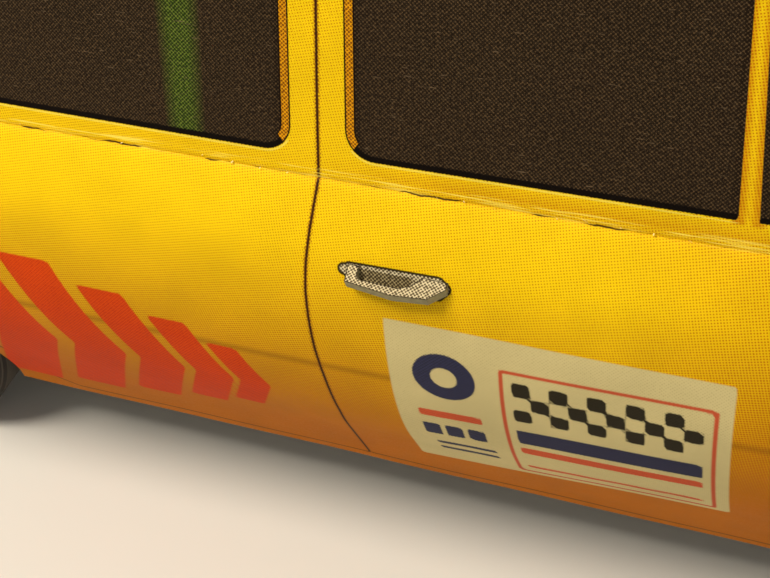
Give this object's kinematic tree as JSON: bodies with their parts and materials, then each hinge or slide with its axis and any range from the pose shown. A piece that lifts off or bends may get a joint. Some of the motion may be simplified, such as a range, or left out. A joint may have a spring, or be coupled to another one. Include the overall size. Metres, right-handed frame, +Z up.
{
  "type": "card model rally car",
  "caption": "Small glued card model of a four-door rally saloon: creased and bowed printed sheets on a floor, wheels that turn on two axles.",
  "frame": {"origin": "on the floor under the middle of the model", "axes": "+X to the front of the car, +Y to its left, +Z up"},
  "size_m": [0.15, 0.0584, 0.0515],
  "materials": {
    "yellow_card": "printed card, matt",
    "window_card": "printed card, matt",
    "grey_card": "bare card, matt",
    "silver_card": "printed card, matt",
    "lamp_card": "printed card, matt",
    "red_card": "printed card, matt",
    "tyre_card": "printed card, matt",
    "wheel_card": "printed card, matt",
    "stick": "plain wood"
  },
  "bodies": {
    "root": {"bonnet": "yellow_card", "boot_lid": "yellow_card", "bumper_front": "silver_card", "bumper_rear": "silver_card", "driving_lamp_left": "lamp_card", "driving_lamp_right": "lamp_card", "floor": "grey_card", "front_panel": "yellow_card", "grille": "silver_card", "grip_front_left": "silver_card", "grip_front_right": "silver_card", "grip_rear_left": "silver_card", "grip_rear_right": "silver_card", "headlamp_left": "lamp_card", "headlamp_right": "lamp_card", "rear_panel": "yellow_card", "rear_window": "window_card", "roof": "yellow_card", "side_left": "yellow_card", "side_right": "yellow_card", "tail_lamp_left": "red_card", "tail_lamp_right": "red_card", "wheel_well_front_left": "grey_card", "wheel_well_front_right": "grey_card", "wheel_well_rear_left": "grey_card", "wheel_well_rear_right": "grey_card", "windscreen": "window_card"},
    "front_axle": {"axle_front": "stick", "tyre_front_left": "tyre_card", "tyre_front_right": "tyre_card", "wheel_front_left": "wheel_card", "wheel_front_right": "wheel_card"},
    "rear_axle": {"axle_rear": "stick", "tyre_rear_left": "tyre_card", "tyre_rear_right": "tyre_card", "wheel_rear_left": "wheel_card", "wheel_rear_right": "wheel_card"}
  },
  "joints": [
    {"name": "front_axle_spin", "type": "hinge", "parent": "root", "child": "front_axle", "pos_m": [0.0485, 0, 0.0103], "axis": [0, 1, 0], "continuous": true},
    {"name": "rear_axle_spin", "type": "hinge", "parent": "root", "child": "rear_axle", "pos_m": [-0.0385, 0, 0.0103], "axis": [0, 1, 0], "continuous": true}
  ]
}
